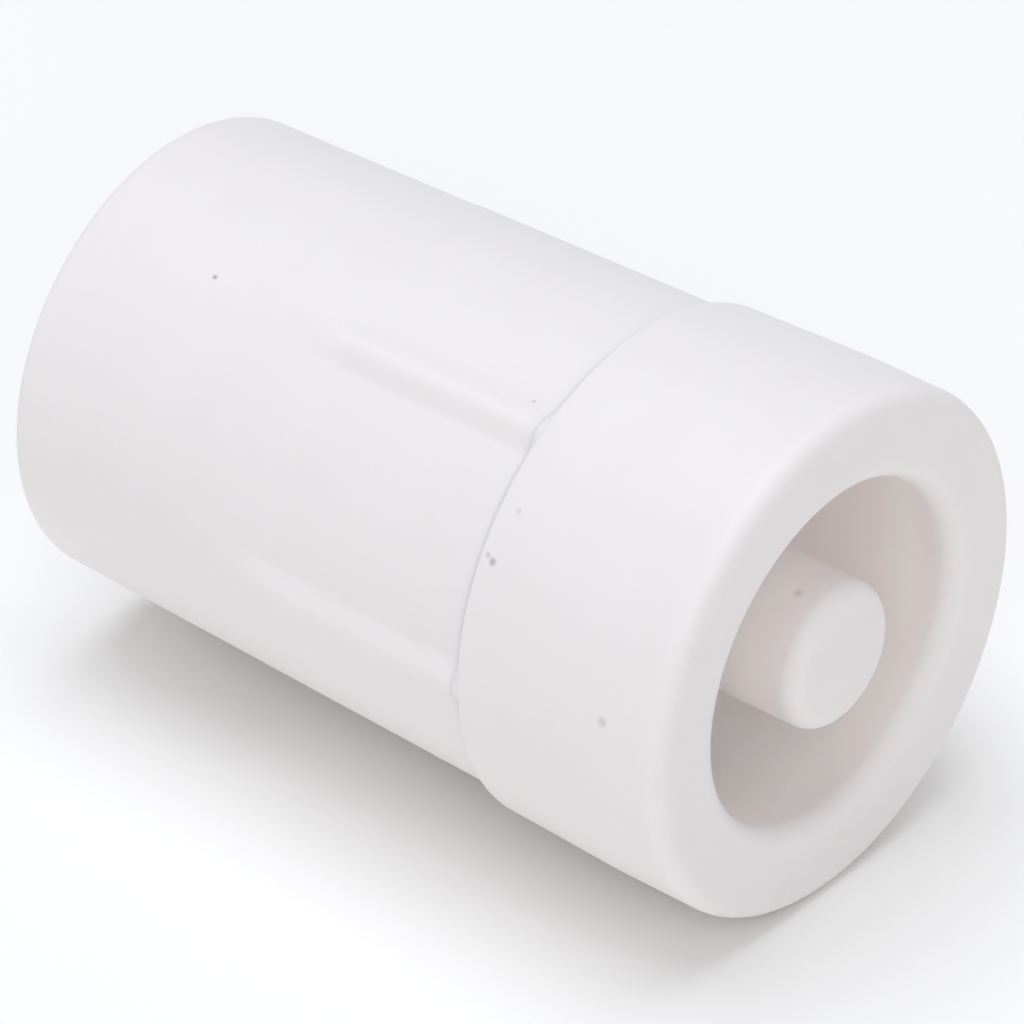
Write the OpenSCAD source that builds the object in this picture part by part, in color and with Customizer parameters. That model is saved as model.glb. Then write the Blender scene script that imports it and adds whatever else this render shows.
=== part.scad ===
// Drive-pin wall anchor: a moulded sleeve with a collar and two pairs of tapering fins,
// two spreading legs at its rear end, and a pin that is pushed in to spread them.
// Millimetres. The anchor's axis is Y: the collar's front face is the plane y = 0,
// facing -Y, and the barrel runs into the wall along +Y.

/* [Collar] */
// Outside diameter of the collar
collar_d = 15.0; // [14.9:0.1:16.0]
// Length of the collar, from the front face to its rear edge
collar_len = 6.8; // [6.0:0.1:7.4]
// Length of the collar's true cylindrical part; behind it the collar is drafted
collar_land = 3.0; // [2.0:0.1:4.0]
// Narrowing of the collar at its rear edge, on the diameter
collar_draft = 0.28; // [0.1:0.02:0.3]
// Radius of the rounding round the front face
rim_round = 0.5; // [0.3:0.05:0.7]
// Length of the step from the collar down to the barrel
shoulder_len = 0.2; // [0.1:0.05:0.6]

/* [Barrel] */
// Overall length of the anchor
total_len = 23.2; // [23.0:0.1:25.0]
// Barrel diameter where it meets the collar
barrel_d_front = 14.1; // [14.0:0.1:14.3]
// Barrel diameter at the rear end
barrel_d_rear = 13.26; // [13.16:0.1:13.76]
// Radius of the rounding at the rear end
rear_round = 0.3; // [0.2:0.1:0.6]

/* [Recess] */
// Diameter of the recess just inside its rounded mouth
recess_d = 9.9; // [9.5:0.1:10.3]
// Depth of the recess, from the front face to its floor
recess_depth = 5.2; // [5.0:0.1:7.0]
// Narrowing of the recess towards its floor, on the diameter
recess_draft = 0.3; // [0.1:0.1:0.5]
// Radius of the rounding at the mouth of the recess
mouth_round = 0.8; // [0.4:0.05:1.0]
// Thickness of the web that guides the pin
web = 4.5; // [3.0:0.1:5.0]
// Diameter of the chamber behind the web
chamber_d = 8.8; // [8.0:0.1:9.4]

/* [Fins] */
// Turn of the first fin from straight up, towards -X
fin_turn = 31.6; // [25:0.1:40]
// Turn from the first to the second fin of each leg's pair
fin_pitch = 60; // [50:1:70]
// Distance from the front face at which a fin fades out
fin_end = 16.2; // [14.0:0.1:16.4]
// Distance from the front face at which a fin starts to sink into the barrel
fin_fade = 13.0; // [11.0:0.1:13.5]
// Height of a fin above the barrel
fin_height = 0.28; // [0.2:0.01:0.3]
// Width of a fin at its foot
fin_width = 1.6; // [1.2:0.05:1.8]

/* [Legs] */
// Length of the two spreading legs
leg_len = 6.6; // [6.2:0.1:6.7]
// Width of the slit between the legs
slit = 0.6; // [0.4:0.1:1.0]
// Turn of the slit from straight up, towards -X
slit_turn = 138.5; // [0:0.5:180]
// Thickness of the skin that is left as the living hinge
hinge_skin = 0.75; // [0.6:0.05:1.0]
// Angle by which each leg spreads when the pin is driven home
spread = 4; // [2:0.5:4]

/* [Pin] */
// Diameter of the drive pin
pin_d = 4.2; // [3.9:0.1:4.3]
// Radial clearance of the pin in its guide
pin_clear = 0.05; // [0.02:0.01:0.1]
// Height of the pin's end above the collar's front face, before it is driven
pin_proud = 0.25; // [0:0.05:0.5]
// Travel of the pin from rest to driven home
pin_travel = 4.0; // [3.5:0.5:4.0]
// Length of the pin's tapered nose
nose_len = 1.5; // [1.0:0.1:2.0]

/* [Hidden] */
$fn = 96;

collar_r = collar_d / 2;
edge_r = collar_r - collar_draft / 2;
barrel_r1 = barrel_d_front / 2;
barrel_r2 = barrel_d_rear / 2;
shoulder_y = collar_len + shoulder_len;
leg_y = total_len - leg_len;
recess_r = recess_d / 2;
floor_r = recess_r - recess_draft / 2;
chamber_r = chamber_d / 2;
guide_r = pin_d / 2 + pin_clear;
groove_r = pin_d / 2 + 0.2;
relief_r = 0.45;
// radius of the drafted barrel at a distance y from the front face
function barrel_r(y) = barrel_r1 + (barrel_r2 - barrel_r1) * (y - shoulder_y) / (total_len - shoulder_y);
hinge_r = barrel_r(leg_y);
// points on an arc about (cx, cy)
function arc(cx, cy, r, a0, a1, n) = [for (i = [0:n]) let (a = a0 + (a1 - a0) * i / n) [cx + r * cos(a), cy + r * sin(a)]];

// the modelled axis stands along +Y of the part
module lie() { rotate([-90, 0, 0]) children(); }
// places a feature at a turn measured from straight up towards -X
module turned(a) { rotate([0, 0, -90 - a]) children(); }

// half section of the sleeve in front of the legs
sleeve_pts = concat(
    arc(recess_r + mouth_round, mouth_round, mouth_round, 180, 270, 8),
    arc(collar_r - rim_round, rim_round, rim_round, -90, 0, 8),
    [[collar_r, collar_land]],
    arc(edge_r - 0.15, collar_len - 0.15, 0.15, 0, 60, 3),
    [[barrel_r1, shoulder_y]],
    [[hinge_r, leg_y], [hinge_r - hinge_skin, leg_y]],
    [[chamber_r, leg_y - 0.8], [chamber_r, recess_depth + web]],
    [[guide_r, recess_depth + web], [guide_r, recess_depth + 0.4], [guide_r + 0.4, recess_depth]],
    arc(floor_r - 0.5, recess_depth - 0.5, 0.5, 90, 0, 4)
);

// half section of the ring that the two legs are cut from
leg_pts = concat(
    [[hinge_r - hinge_skin, leg_y], [hinge_r, leg_y]],
    arc(barrel_r2 - rear_round, total_len - rear_round, rear_round, 0, 90, 6),
    [[1.0, total_len], [1.0, leg_y + 3.2], [chamber_r, leg_y + 1.5], [chamber_r, leg_y + 0.8]]
);

// one straight length of a fin, with its crest running from one point to another
module fin_length(y0, r0, y1, r1) {
    slope = atan((r0 - r1) / (y1 - y0));
    side = (fin_width / 2 - 0.2) / fin_height;
    translate([r0, 0, y0])
        rotate([0, -slope, 0])
            linear_extrude((y1 - y0) / cos(slope))
                polygon([[0, -0.2], [0, 0.2], [-0.6, 0.2 + 0.6 * side], [-0.6, -0.2 - 0.6 * side]]);
}

// a low wide ridge that is level with the collar at its front and sinks into the barrel at its rear
module fin() {
    fin_length(collar_len - 0.3, barrel_r(collar_len - 0.3) + fin_height, fin_fade, barrel_r(fin_fade) + fin_height);
    fin_length(fin_fade - 0.01, barrel_r(fin_fade) + fin_height, fin_end, barrel_r(fin_end) - 0.02);
}

module leg(a) {
    lie() turned(a) difference() {
        intersection() {
            rotate_extrude() polygon(leg_pts);
            translate([slit / 2, -10, leg_y - 1]) cube([10, 20, leg_len + 2]);
        }
        // the guide for the pin, cut true to the axis with the leg spread and then closed again
        translate([hinge_r, 0, leg_y]) rotate([0, -spread, 0]) translate([-hinge_r, 0, -leg_y])
            translate([0, 0, leg_y - 2]) cylinder(r = groove_r, h = leg_len + 6);
        // round end of the slit
        translate([0, 0, leg_y]) rotate([90, 0, 0]) cylinder(r = relief_r, h = 20, center = true);
    }
}

module sleeve() {
    color([0.90, 0.885, 0.89]) lie() difference() {
        union() {
            rotate_extrude() polygon(sleeve_pts);
            for (side = [0, 180]) for (step = [0, fin_pitch]) turned(fin_turn + side + step) fin();
        }
        turned(slit_turn - 90) translate([0, 0, leg_y]) rotate([90, 0, 0]) cylinder(r = relief_r, h = 20, center = true);
    }
}

module leg_upper() { color([0.90, 0.885, 0.89]) leg(slit_turn - 90); }

module leg_lower() { color([0.90, 0.885, 0.89]) leg(slit_turn + 90); }

module drive_pin() {
    pr = pin_d / 2;
    shoulder = total_len - pin_travel - nose_len;
    color([0.87, 0.855, 0.86]) lie() rotate_extrude() polygon(concat(
        [[0, -pin_proud]],
        arc(pr - 0.55, 0.6 - pin_proud, 0.55, -84, 0, 6),
        [[pr, shoulder], [pr - 1.0, shoulder + nose_len - 0.2], [pr - 1.2, shoulder + nose_len], [0, shoulder + nose_len]]
    ));
}

sleeve();
leg_upper();
leg_lower();
drive_pin();
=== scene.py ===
import math
import bpy
from mathutils import Matrix, Vector


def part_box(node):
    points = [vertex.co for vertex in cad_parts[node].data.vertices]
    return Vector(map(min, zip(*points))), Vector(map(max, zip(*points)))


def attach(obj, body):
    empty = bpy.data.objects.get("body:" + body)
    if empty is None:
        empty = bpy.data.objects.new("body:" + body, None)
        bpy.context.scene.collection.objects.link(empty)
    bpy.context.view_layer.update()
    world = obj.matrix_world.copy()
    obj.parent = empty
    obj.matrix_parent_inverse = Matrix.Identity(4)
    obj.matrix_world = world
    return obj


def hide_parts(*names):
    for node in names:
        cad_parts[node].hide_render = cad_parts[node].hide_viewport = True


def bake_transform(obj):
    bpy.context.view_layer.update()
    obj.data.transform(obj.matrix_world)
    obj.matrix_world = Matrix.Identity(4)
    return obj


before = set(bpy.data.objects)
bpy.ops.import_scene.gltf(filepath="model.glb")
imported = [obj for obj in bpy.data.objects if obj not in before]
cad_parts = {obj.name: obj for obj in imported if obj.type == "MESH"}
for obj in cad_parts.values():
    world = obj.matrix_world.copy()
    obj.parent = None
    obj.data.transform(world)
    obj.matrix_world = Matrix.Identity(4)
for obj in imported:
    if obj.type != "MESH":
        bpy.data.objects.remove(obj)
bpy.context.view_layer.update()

MM = 0.001

# ---------------------------------------------------------------- sizes, from the frame
_lo, _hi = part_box("sleeve")
_llo, _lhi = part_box("leg_upper")
_plo, _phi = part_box("drive_pin")
LEG_Y = _hi.y / MM              # plane where the legs start
TOTAL = _lhi.y / MM             # rear end
R_COLLAR = 7.5
R_EDGE = 7.36                   # collar at its rear edge
COLLAR_LAND = 3.0
COLLAR_LEN = 6.8
SHOULDER_Y = 7.0
SEAM_Y = 7.06                   # foot of the shoulder
R_B1 = 7.05
R_B2 = 6.63
RIM = 0.5
MOUTH = 0.8
R_RECESS = 4.95
R_FLOOR = 4.80
DEPTH = 5.2
WEB = 4.5
R_CHAMBER = 4.4
R_CORE = 6.0                    # hidden face inside the wall, between the core and the two barrel halves
CORE_END = 15.0
R_GUIDE = 2.15
SKIN = 0.75
R_GROOVE = 2.30
SLIT = 0.3
RELIEF = 0.45
REAR = 0.3
SLIT_TURN = 138.5
SPREAD = math.radians(4)
FIN_TURN = 31.6
FIN_END = 16.4
FIN_FADE = 12.6
FIN_H = 0.28
FIN_W = 0.82
R_PIN = (_phi.x - _plo.x) / 2 / MM
PIN_Y0 = _plo.y / MM
PIN_Y1 = _phi.y / MM


def barrel_r(y):
    return R_B1 + (R_B2 - R_B1) * (y - SHOULDER_Y) / (TOTAL - SHOULDER_Y)


R_HINGE = barrel_r(LEG_Y)


# ---------------------------------------------------------------- mesh helpers
def outline(points, step=0.35):
    """A closed or open section from corners (y, r, rounding), with real arcs at the corners and points along the straights."""
    out = []
    n = len(points)
    for i, (y, r, rad) in enumerate(points):
        p = Vector((y, r))
        if rad <= 0 or i in (0, n - 1):
            out.append((p.x, p.y))
            continue
        a = Vector(points[i - 1][:2])
        b = Vector(points[i + 1][:2])
        da, db = (a - p).normalized(), (b - p).normalized()
        ang = da.angle(db)
        cut = min(rad / math.tan(ang / 2), 0.48 * (a - p).length, 0.48 * (b - p).length)
        rr = cut * math.tan(ang / 2)
        start, end = p + da * cut, p + db * cut
        c = p + (da + db).normalized() * (rr / math.sin(ang / 2))
        va, vb = start - c, end - c
        sweep = va.angle_signed(vb)
        k = max(3, int(abs(sweep) * max(rr, 0.12) / 0.06))
        k = min(k, 16)
        for j in range(k + 1):
            t = sweep * j / k
            q = Vector((va.x * math.cos(-t) - va.y * math.sin(-t), va.x * math.sin(-t) + va.y * math.cos(-t)))
            out.append((c.x + q.x, c.y + q.y))
    fine = [out[0]]
    for a, b in zip(out, out[1:]):
        d = math.dist(a, b)
        k = max(1, int(math.ceil(d / step)))
        for j in range(1, k + 1):
            fine.append((a[0] + (b[0] - a[0]) * j / k, a[1] + (b[1] - a[1]) * j / k))
    return fine


def point(turn, r, y):
    """A point at a turn (radians) from straight up towards -X, at a radius, in metres."""
    return (-math.sin(turn) * r * MM, y * MM, math.cos(turn) * r * MM)


def make(name, verts, faces, sharp=38):
    me = bpy.data.meshes.new(name)
    me.from_pydata(verts, [], faces)
    me.validate()
    import bmesh
    bm = bmesh.new()
    bm.from_mesh(me)
    bmesh.ops.remove_doubles(bm, verts=bm.verts, dist=2e-7)
    bmesh.ops.dissolve_degenerate(bm, edges=bm.edges, dist=2e-7)
    bmesh.ops.recalc_face_normals(bm, faces=bm.faces)
    bm.to_mesh(me)
    bm.free()
    me.shade_smooth()
    me.set_sharp_from_angle(angle=math.radians(sharp))
    ob = bpy.data.objects.new(name, me)
    bpy.context.scene.collection.objects.link(ob)
    return ob


# ---------------------------------------------------------------- the sleeve
def fin_height(turn, y):
    """Height of the nearest ridge above the barrel."""
    if y >= FIN_END:
        return 0.0
    q = min(max((y - FIN_FADE) / (FIN_END - FIN_FADE), 0.0), 1.0)
    h = FIN_H * (1.0 - q * q * (3 - 2 * q))
    x = FIN_W
    for k in (0, 60, 180, 240):
        d = (turn - math.radians(FIN_TURN + k) + math.pi) % (2 * math.pi) - math.pi
        x = min(x, abs(d) * barrel_r(y))
    x /= FIN_W
    return 0.0 if x >= 1.0 else h * (0.5 + 0.5 * math.cos(math.pi * x))


def outer_r(turn, y, r):
    """The outer wall's radius with the fins raised on it."""
    f = 0.0 if y <= COLLAR_LEN or r < 6.2 else fin_height(turn, y)
    if f <= 0.0:
        return r
    return min(max(r, barrel_r(y) + f), R_EDGE - 0.004)


def half_columns():
    """Angles across one half of the barrel, from slit to slit, closer together at the fins and at the slits."""
    out = set(round(-90 + i * 1.8, 3) for i in range(101))
    for k in (0, 60, 180, 240):
        c = (FIN_TURN + k - (SLIT_TURN - 90) + 180) % 360 - 180
        if abs(c) < 84:
            for j in range(-17, 18):
                out.add(round(c + j * 0.42, 3))
    for e in (-90.0, 90.0):
        for j in range(1, 7):
            out.add(round(e - math.copysign(0.3 * j * j / 2.0, e), 3))
    out = sorted(out)
    keep = [out[0]]
    for t in out[1:]:
        if t - keep[-1] > 0.14:
            keep.append(t)
    keep[-1] = 90.0
    return [math.radians(t) for t in keep]


COLS = half_columns()


def ridge(psi):
    """The mould's parting line, along both slits."""
    x = (math.pi / 2 - abs(psi)) * 7.0
    return 0.022 * math.exp(-(x / 0.055) ** 2)


def build_core():
    """Collar, recess, web and the hidden liner of the barrel: one closed turned shape with the fins' roots on it."""
    outer = [
        (0.0, 6.2, 0),
        (0.0, R_COLLAR, RIM),
        (COLLAR_LAND, R_COLLAR, 2.0),
        (COLLAR_LEN + 0.02, R_EDGE, 0.10),
        (SHOULDER_Y - 0.06, R_B1 + 0.004, 0.05),
        (SEAM_Y, barrel_r(SEAM_Y), 0),
    ]
    inner = [
        (SEAM_Y, barrel_r(SEAM_Y), 0),
        (SEAM_Y, R_CORE, 0),
        (CORE_END, R_CORE, 0),
        (CORE_END, R_CHAMBER, 0),
        (DEPTH + WEB, R_CHAMBER, 0.35),
        (DEPTH + WEB, R_GUIDE, 0.12),
        (DEPTH + 0.4, R_GUIDE, 0.1),
        (DEPTH, R_GUIDE + 0.4, 0.12),
        (DEPTH, R_FLOOR, 0.5),
        (0.0, R_RECESS, MOUTH),
        (0.0, 6.2, 0),
    ]
    first = outline(outer, 0.16)
    section = first + outline(inner, 0.4)[1:-1]
    n_outer = len(first)
    base = math.radians(SLIT_TURN - 90)
    cols = [(base + p, p) for p in COLS[:-1]] + [(base + math.pi + p, p) for p in COLS[:-1]]
    verts, faces = [], []
    for i, (y, r) in enumerate(section):
        for t, p in cols:
            rr = r
            if i < n_outer:
                rr = outer_r(t, y, r)
                if y > SHOULDER_Y - 0.1:
                    rr += ridge(p) * min(1.0, (y - SHOULDER_Y + 0.1) / 0.16)
            verts.append(point(t, rr, y))
    n, m = len(cols), len(section)
    for i in range(m):
        i2 = (i + 1) % m
        for j in range(n):
            j2 = (j + 1) % n
            faces.append((i * n + j, i * n + j2, i2 * n + j2, i2 * n + j))
    return make("sleeve_core", verts, faces)


# ---------------------------------------------------------------- the barrel's two halves, each with its leg
def build_half(name, turn_deg):
    turn = math.radians(turn_deg)
    stations = [SEAM_Y]
    y = SEAM_Y + 0.14
    while y < CORE_END - 0.1:
        stations.append(y)
        y += 0.2
    stations += [CORE_END, CORE_END + 0.02, 15.3, 15.55, 15.8, 16.0, 16.1]
    for k in range(0, 21):
        stations.append(LEG_Y - RELIEF * math.cos(math.pi * k / 20))
    y = LEG_Y + RELIEF + 0.1
    while y < TOTAL - REAR - 0.12:
        stations.append(y)
        y += 0.16
    for j in range(0, 11):
        stations.append(TOTAL - REAR + REAR * math.sin(math.radians(90 * j / 10)))
    stations = sorted(set(round(q, 5) for q in stations))
    NA = len(COLS) - 1
    NS = 8
    NI = NA
    loops = []
    for y in stations:
        ro = barrel_r(y)
        back = y - (TOTAL - REAR)
        if back > 0:
            ro = barrel_r(TOTAL) - REAR + math.sqrt(max(REAR * REAR - back * back, 0.0))
        u = y - LEG_Y
        w = SLIT if u > 0 else 0.0
        if abs(u) < RELIEF:
            w = max(w, math.sqrt(max(RELIEF ** 2 - u * u, 0)))
        edge = y - (TOTAL - 0.12)
        flare = 0.0
        if edge > 0:
            flare = 0.12 - math.sqrt(max(0.12 ** 2 - edge ** 2, 0.0))
        w += flare
        # inner wall: the core, the chamber, the thin skin, the ramp, then the guide for the pin
        if y < CORE_END + 0.01:
            ri = R_CORE
        elif u < -0.8:
            ri = R_CHAMBER
        elif abs(u) <= 0.8:
            ri = R_CHAMBER + (R_HINGE - SKIN - R_CHAMBER) * (1 - abs(u) / 0.8)
        elif u < 1.5:
            ri = R_CHAMBER
        elif u < 3.2:
            ri = R_CHAMBER + (1.0 - R_CHAMBER) * (u - 1.5) / 1.7
        else:
            ri = 1.0
        g = R_GROOVE + flare * 2.0
        c = R_HINGE * (1 - math.cos(SPREAD)) - u * math.sin(SPREAD)

        def r_in(psi):
            if u < 1.0:
                return ri
            q = g * g - (c * math.sin(psi)) ** 2
            return max(ri, c * math.cos(psi) + math.sqrt(max(q, 0.0)))
        po = math.acos(w / ro)
        lo_, hi_ = 0.2, math.pi / 2
        for _ in range(40):
            mid = (lo_ + hi_) / 2
            if r_in(mid) * math.cos(mid) > w:
                lo_ = mid
            else:
                hi_ = mid
        pin_ = (lo_ + hi_) / 2
        rnd = min(0.10, w * 0.4)
        dpo = rnd / ro
        pts = []
        for p in COLS:
            psi = p * (po - dpo) / (math.pi / 2)
            r = outer_r(turn + psi, y, ro)
            if y < LEG_Y - RELIEF:
                r += ridge(p)
            pts.append((r * math.cos(psi), r * math.sin(psi)))
        r_edge = math.hypot(*pts[-1])
        corner = (w, (r_edge if w < 1e-6 else ro) * math.sin(po))
        s0, s1 = pts[-1], (w, corner[1] - max(rnd, 0.004))
        inner_end = (w, r_in(pin_) * math.sin(pin_))
        side = []
        for q in range(1, 5):
            t = q / 4.0
            side.append(((1 - t) ** 2 * s0[0] + 2 * t * (1 - t) * corner[0] + t * t * s1[0], (1 - t) ** 2 * s0[1] + 2 * t * (1 - t) * corner[1] + t * t * s1[1]))
        for q in range(1, NS + 1):
            t = q / NS
            side.append((w, s1[1] + (inner_end[1] - s1[1]) * t))
        pts += side
        for k in range(1, NI):
            psi = pin_ - 2 * pin_ * k / NI
            rr = r_in(psi)
            pts.append((rr * math.cos(psi), rr * math.sin(psi)))
        pts += [(p[0], -p[1]) for p in reversed(side)]
        loops.append(pts)
    n = len(loops[0])
    verts, faces = [], []
    er = (-math.sin(turn), math.cos(turn))
    et = (-math.cos(turn), -math.sin(turn))
    for y, pts in zip(stations, loops):
        for p, q in pts:
            verts.append(((er[0] * p + et[0] * q) * MM, y * MM, (er[1] * p + et[1] * q) * MM))
    for i in range(len(stations) - 1):
        for j in range(n):
            j2 = (j + 1) % n
            faces.append((i * n + j, i * n + j2, (i + 1) * n + j2, (i + 1) * n + j))
    for start in (0, (len(stations) - 1) * n):
        outer = list(range(NA + 1))
        side_r = list(range(NA + 1, NA + 1 + NS + 4))
        inner_ = list(range(NA + 1 + NS + 4, NA + NS + 4 + NI))
        side_l = list(range(NA + NS + 4 + NI, n))
        arc_in = [side_l[0]] + list(reversed(inner_)) + [side_r[-1]]
        for k in range(NA):
            faces.append((start + outer[k], start + outer[k + 1], start + arc_in[k + 1], start + arc_in[k]))
        faces.append(tuple(start + q for q in [outer[-1]] + side_r))
        faces.append(tuple(start + q for q in side_l + [outer[0]]))
    return make(name, verts, faces)


# ---------------------------------------------------------------- the drive pin
def build_pin():
    p0, p1 = PIN_Y0, PIN_Y1
    shoulder = p1 - 1.5
    body = [
        (p0 + 0.05, R_PIN - 1.15, 0.0),
        (p0 + 0.09, R_PIN - 0.01, 0.56),
        (p0 + 2.6, R_PIN, 0.2),
        (shoulder, R_PIN, 0.25),
        (p1 - 0.2, R_PIN - 1.0, 0.15),
        (p1, R_PIN - 1.2, 0.12),
        (p1, 0.25, 0.0),
    ]
    sec = outline(body, 0.25)
    # shallow dish in the end, and its crown
    cap = []
    for k in range(1, 13):
        r = (R_PIN - 1.15) * k / 12.5
        q = r / (R_PIN - 1.15)
        cap.append((p0 + 0.05 * q ** 2 + 0.045 * math.exp(-(r / 0.55) ** 2), r))
    sec = cap + sec
    N = 144
    verts, faces = [], []
    for y, r in sec:
        for j in range(N):
            verts.append(point(2 * math.pi * j / N, r, y))
    for i in range(len(sec) - 1):
        for j in range(N):
            j2 = (j + 1) % N
            faces.append((i * N + j, i * N + j2, (i + 1) * N + j2, (i + 1) * N + j))
    c0 = len(verts)
    verts.append((0, (p0 + 0.045) * MM, 0))
    c1 = len(verts)
    verts.append((0, p1 * MM, 0))
    last = (len(sec) - 1) * N
    for j in range(N):
        j2 = (j + 1) % N
        faces.append((c0, j2, j))
        faces.append((c1, last + j, last + j2))
    return make("drive_pin_moulding", verts, faces)


# ---------------------------------------------------------------- materials
def nylon(name, light, dark, painted_glow, rough, seed, marks):
    m = bpy.data.materials.new(name)
    m.use_nodes = True
    nt = m.node_tree
    nodes, links = nt.nodes, nt.links
    bsdf = nodes["Principled BSDF"]
    tc = nodes.new("ShaderNodeTexCoord")
    # slow cloudy variation of the moulded plastic
    cloud = nodes.new("ShaderNodeTexNoise")
    cloud.inputs["Scale"].default_value = 260 + seed
    cloud.inputs["Detail"].default_value = 4
    cloud.inputs["Roughness"].default_value = 0.55
    links.new(tc.outputs["Object"], cloud.inputs["Vector"])
    ramp = nodes.new("ShaderNodeValToRGB")
    ramp.color_ramp.elements[0].position = 0.35
    ramp.color_ramp.elements[0].color = (*dark, 1)
    ramp.color_ramp.elements[1].position = 0.66
    ramp.color_ramp.elements[1].color = (*light, 1)
    links.new(cloud.outputs["Fac"], ramp.inputs["Fac"])
    # a few tiny dark specks caught in the surface: x, y, z in mm, radius in mm, strength
    last = ramp.outputs["Color"]
    for x, y, z, rad, strength in marks:
        far = nodes.new("ShaderNodeVectorMath")
        far.operation = "DISTANCE"
        far.inputs[1].default_value = (x * MM, y * MM, z * MM)
        links.new(tc.outputs["Object"], far.inputs[0])
        pick = nodes.new("ShaderNodeMapRange")
        pick.interpolation_type = "SMOOTHSTEP"
        pick.inputs["From Min"].default_value = rad * 0.25 * MM
        pick.inputs["From Max"].default_value = rad * MM
        pick.inputs["To Min"].default_value = strength
        pick.inputs["To Max"].default_value = 0.0
        links.new(far.outputs["Value"], pick.inputs["Value"])
        mix = nodes.new("ShaderNodeMix")
        mix.data_type = "RGBA"
        mix.inputs[7].default_value = (dark[0] * 0.40, dark[1] * 0.33, dark[2] * 0.36, 1)
        links.new(pick.outputs["Result"], mix.inputs[0])
        links.new(last, mix.inputs[6])
        last = mix.outputs[2]
    # painted glow: inside the recess the base colour is mixed towards a brighter, warmer colour, painted in to stand
    # in for light that comes through the walls
    cut = nodes.new("ShaderNodeSeparateXYZ")
    links.new(tc.outputs["Object"], cut.inputs[0])
    flat = nodes.new("ShaderNodeCombineXYZ")
    links.new(cut.outputs[0], flat.inputs[0])
    links.new(cut.outputs[2], flat.inputs[2])
    radial = nodes.new("ShaderNodeVectorMath")
    radial.operation = "LENGTH"
    links.new(flat.outputs[0], radial.inputs[0])

    def band(source, a, b, va, vb):
        q = nodes.new("ShaderNodeMapRange")
        q.interpolation_type = "SMOOTHSTEP"
        q.inputs["From Min"].default_value = a * MM
        q.inputs["From Max"].default_value = b * MM
        q.inputs["To Min"].default_value = va
        q.inputs["To Max"].default_value = vb
        links.new(source, q.inputs["Value"])
        return q.outputs["Result"]

    def times(a, b):
        q = nodes.new("ShaderNodeMath")
        q.operation = "MULTIPLY"
        links.new(a, q.inputs[0])
        links.new(b, q.inputs[1])
        return q.outputs[0]

    inside = times(band(radial.outputs["Value"], 5.6, 6.2, 1.0, 0.0), band(cut.outputs[1], 0.15, 1.7, 0.0, 1.0))
    inside = times(inside, band(cut.outputs[1], 5.6, 6.4, 1.0, 0.0))
    painted_glow_mix = nodes.new("ShaderNodeMix")
    painted_glow_mix.data_type = "RGBA"
    painted_glow_mix.inputs[7].default_value = (*painted_glow, 1)
    links.new(inside, painted_glow_mix.inputs[0])
    links.new(last, painted_glow_mix.inputs[6])
    links.new(painted_glow_mix.outputs[2], bsdf.inputs["Base Color"])
    near = times(inside, band(cut.outputs[1], 4.4, 6.0, 1.0, 0.35))
    for socket, low, high in (("Subsurface Weight", 0.25, 0.85), ("Subsurface Scale", 0.0006, 0.0022)):
        q = nodes.new("ShaderNodeMapRange")
        q.inputs["To Min"].default_value = low
        q.inputs["To Max"].default_value = high
        links.new(near, q.inputs["Value"])
        links.new(q.outputs["Result"], bsdf.inputs[socket])
    # roughness wanders a little
    grain = nodes.new("ShaderNodeTexNoise")
    grain.inputs["Scale"].default_value = 900
    grain.inputs["Detail"].default_value = 3
    links.new(tc.outputs["Object"], grain.inputs["Vector"])
    rr = nodes.new("ShaderNodeMapRange")
    rr.inputs["To Min"].default_value = rough - 0.06
    rr.inputs["To Max"].default_value = rough + 0.07
    links.new(grain.outputs["Fac"], rr.inputs["Value"])
    links.new(rr.outputs["Result"], bsdf.inputs["Roughness"])
    # fine moulded texture, and faint waves from the mould's polishing
    fine = nodes.new("ShaderNodeTexNoise")
    fine.inputs["Scale"].default_value = 5200
    fine.inputs["Detail"].default_value = 2
    links.new(tc.outputs["Object"], fine.inputs["Vector"])
    wave = nodes.new("ShaderNodeTexNoise")
    wave.inputs["Scale"].default_value = 420
    wave.inputs["Detail"].default_value = 1
    links.new(tc.outputs["Object"], wave.inputs["Vector"])
    b1 = nodes.new("ShaderNodeBump")
    b1.inputs["Strength"].default_value = 0.10
    b1.inputs["Distance"].default_value = 0.00004
    links.new(fine.outputs["Fac"], b1.inputs["Height"])
    b2 = nodes.new("ShaderNodeBump")
    b2.inputs["Strength"].default_value = 0.12
    b2.inputs["Distance"].default_value = 0.00012
    links.new(wave.outputs["Fac"], b2.inputs["Height"])
    links.new(b1.outputs["Normal"], b2.inputs["Normal"])
    links.new(b2.outputs["Normal"], bsdf.inputs["Normal"])
    bsdf.inputs["Specular IOR Level"].default_value = 0.35
    bsdf.inputs["Subsurface Radius"].default_value = (1.0, 0.70, 0.60)
    return m


# the third colour passed to nylon() is the painted glow for the recess, brighter and warmer than the plastic itself
MAT = nylon("nylon_white", (0.880, 0.840, 0.828), (0.868, 0.825, 0.812), (0.985, 0.918, 0.900), 0.48, 0, (
    (-3.461, 18.537, 5.796, 0.10, 0.75),
    (-3.119, 7.774, 6.303, 0.09, 0.45),
    (-6.415, 6.40, 3.644, 0.16, 0.55),
    (-6.36, 6.60, 3.74, 0.12, 0.35),
    (-7.399, 1.915, 1.205, 0.20, 0.30),
    (-5.558, 6.232, 4.856, 0.13, 0.22),
))
# the drive pin's copy: slightly darker tones and a dimmer painted glow where it sits in the recess
MAT_PIN = nylon("nylon_white_pin", (0.875, 0.835, 0.822), (0.863, 0.820, 0.806), (0.970, 0.900, 0.885), 0.46, 37, (
    (-0.612, 0.94, 2.01, 0.17, 0.55),
))
for n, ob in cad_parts.items():
    ob.data.materials.clear()
    ob.data.materials.append(MAT_PIN if n == "drive_pin" else MAT)

core = build_core()
core.data.materials.append(MAT)
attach(core, "sleeve")
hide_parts("sleeve")

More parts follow.
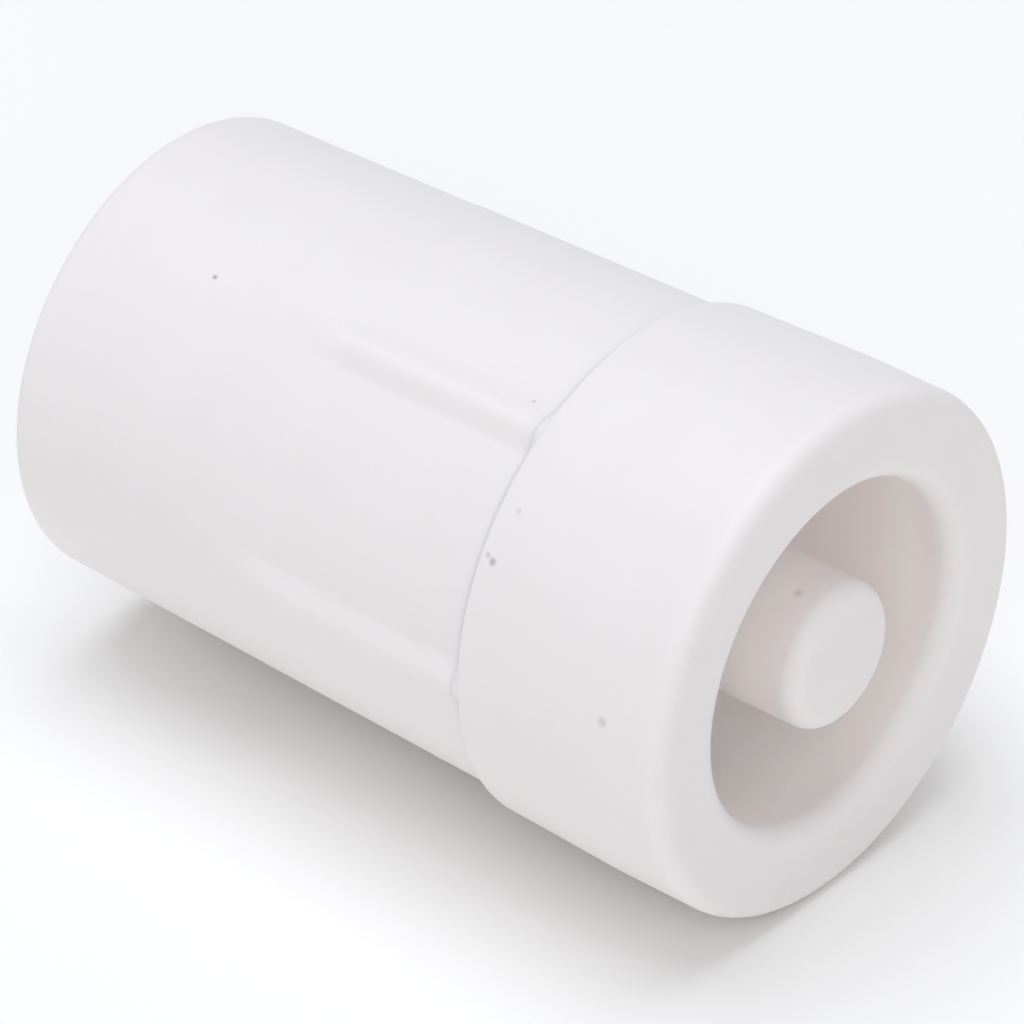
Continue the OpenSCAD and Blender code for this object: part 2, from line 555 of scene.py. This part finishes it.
for nm, node, turn in (("barrel_half_upper", "leg_upper", SLIT_TURN - 90), ("barrel_half_lower", "leg_lower", SLIT_TURN + 90)):
    half = build_half(nm, turn)
    half.data.materials.append(MAT)
    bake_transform(half)
    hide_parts(node)

pin = build_pin()
pin.data.materials.append(MAT_PIN)
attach(pin, "drive_pin")
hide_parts("drive_pin")

# ---------------------------------------------------------------- floor
fm = bpy.data.materials.new("floor_pale")
fm.use_nodes = True
fb = fm.node_tree.nodes["Principled BSDF"]
fb.inputs["Base Color"].default_value = (0.992, 0.978, 0.955, 1)
fb.inputs["Roughness"].default_value = 0.9
fb.inputs["Specular IOR Level"].default_value = 0.1
me = bpy.data.meshes.new("floor")
F = 3.0
me.from_pydata([(-F, -F, 0), (F, -F, 0), (F, F, 0), (-F, F, 0)], [], [(0, 1, 2, 3)])
floor = bpy.data.objects.new("floor", me)
floor.location = (0, 0, -R_COLLAR * MM - 0.00002)
bpy.context.scene.collection.objects.link(floor)
me.materials.append(fm)


# ---------------------------------------------------------------- light
def area(name, loc, target, size, power, color=(1, 1, 1)):
    d = bpy.data.lights.new(name, "AREA")
    d.shape = "DISK"
    d.size = size
    d.energy = power
    d.color = color
    o = bpy.data.objects.new(name, d)
    o.location = loc
    o.rotation_euler = (Vector(target) - Vector(loc)).to_track_quat("-Z", "Y").to_euler()
    bpy.context.scene.collection.objects.link(o)
    return o


area("key_top", (-0.02, 0.05, 0.40), (0, 0.012, 0), 0.36, 0.80, (0.93, 0.975, 1.05))
area("front_soft", (-0.283, -0.238, 0.257), (0, 0.008, 0), 0.30, 0.32, (1.0, 0.985, 0.985))
area("fill_left", (-0.40, -0.06, 0.16), (0, 0.012, 0), 0.30, 0.02, (1.0, 0.985, 0.99))
w = bpy.data.worlds.new("studio")
bpy.context.scene.world = w
w.use_nodes = True
w.node_tree.nodes["Background"].inputs["Color"].default_value = (0.965, 0.99, 1.03, 1)
w.node_tree.nodes["Background"].inputs["Strength"].default_value = 0.52
bpy.context.scene.view_settings.view_transform = "Standard"
bpy.context.scene.view_settings.look = "None"

# ---------------------------------------------------------------- camera
AZ, EL = math.radians(-49.93), math.radians(34.85)
DIST, OX, OY, FPX = 227.7, -0.58, 0.556, 8500.0
fwd = Vector((-math.sin(AZ) * math.cos(EL), math.cos(AZ) * math.cos(EL), -math.sin(EL)))
right = Vector((math.cos(AZ), math.sin(AZ), 0))
up = right.cross(fwd)
pos = Vector((0, 11.9, 0)) - fwd * DIST - right * OX - up * OY
cd = bpy.data.cameras.new("camera")
cd.sensor_width = 36
cd.lens = 36 * FPX / 1024
cd.clip_start = 0.01
cd.clip_end = 20
cam = bpy.data.objects.new("camera", cd)
mat = Matrix((right, up, -fwd)).transposed().to_4x4()
mat.translation = pos * MM
cam.matrix_world = mat
bpy.context.scene.collection.objects.link(cam)
bpy.context.scene.camera = cam
